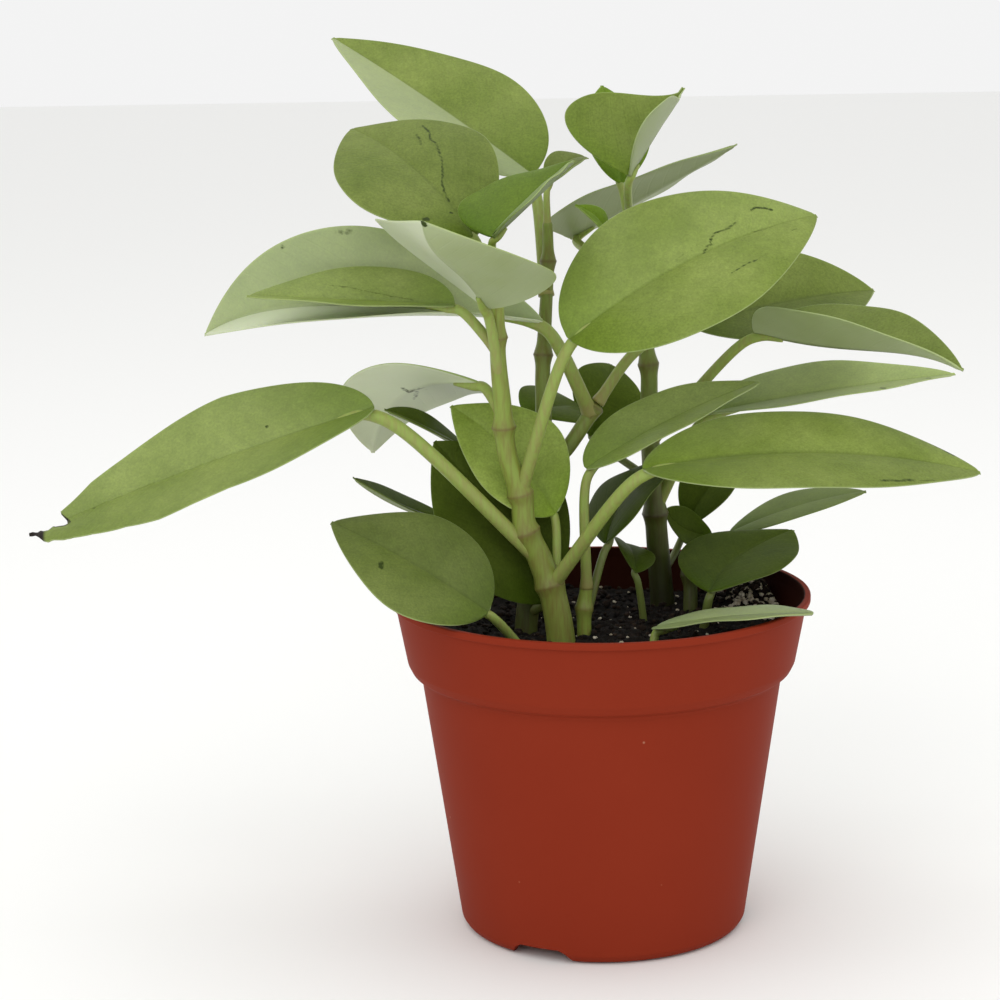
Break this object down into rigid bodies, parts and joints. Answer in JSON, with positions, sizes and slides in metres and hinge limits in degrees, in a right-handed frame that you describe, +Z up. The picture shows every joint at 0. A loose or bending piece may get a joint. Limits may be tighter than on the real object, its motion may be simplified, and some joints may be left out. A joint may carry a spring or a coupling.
{
  "type": "potted peperomia",
  "caption": "House plant with thick, smooth, oval leaves on stalks and upright stems, standing in soil in a plain terracotta-coloured plastic nursery pot.",
  "frame": {"origin": "middle of the pot's flat foot, on the pot's axis, where it stands", "axes": "+Z up along the pot's axis, front towards -Y, +X to the right seen from the front"},
  "size_m": [0.2732, 0.1536, 0.2596],
  "materials": {
    "pot": "thin injection-moulded polypropylene, satin, brick red",
    "soil": "loose dark peat with pale mineral crumbs, dull",
    "stem": "soft fleshy green stem with brownish node rings, satin",
    "leaf": "thick smooth waxy leaf, olive green above, pale below, satin",
    "leaf_shaded": "older thick smooth waxy leaf, darker green, satin"
  },
  "bodies": {
    "root": {"pot": "pot", "soil": "soil", "stem_front": "stem", "stem_back": "stem", "stem_right": "stem", "stem_thin": "stem", "stem_low": "stem", "leaf_young_top": "leaf", "leaf_round_left": "leaf", "leaf_facing_front": "leaf", "leaf_narrow_left": "leaf", "leaf_arched_left": "leaf", "leaf_broad_centre": "leaf", "leaf_long_left": "leaf", "leaf_long_right": "leaf", "leaf_bright_centre": "leaf", "leaf_top_left": "leaf", "leaf_small_back": "leaf", "leaf_dark_rear": "leaf_shaded", "leaf_grey_left": "leaf_shaded", "leaf_edge_left": "leaf_shaded", "leaf_dark_left": "leaf_shaded", "leaf_folded_left": "leaf", "leaf_right_back": "leaf", "leaf_cupped_right": "leaf", "leaf_round_back": "leaf", "leaf_long_back": "leaf", "leaf_bud_right": "leaf", "leaf_folded_right": "leaf", "leaf_middle_right": "leaf", "leaf_round_rear": "leaf_shaded", "leaf_rising_right": "leaf", "leaf_shaded_centre": "leaf_shaded", "leaf_low_back": "leaf_shaded", "leaf_shaded_right": "leaf_shaded", "leaf_shaded_small": "leaf_shaded", "leaf_low_left": "leaf", "leaf_low_right": "leaf_shaded", "leaf_over_rim": "leaf", "leaf_shaded_stub": "leaf_shaded"}
  },
  "joints": []
}
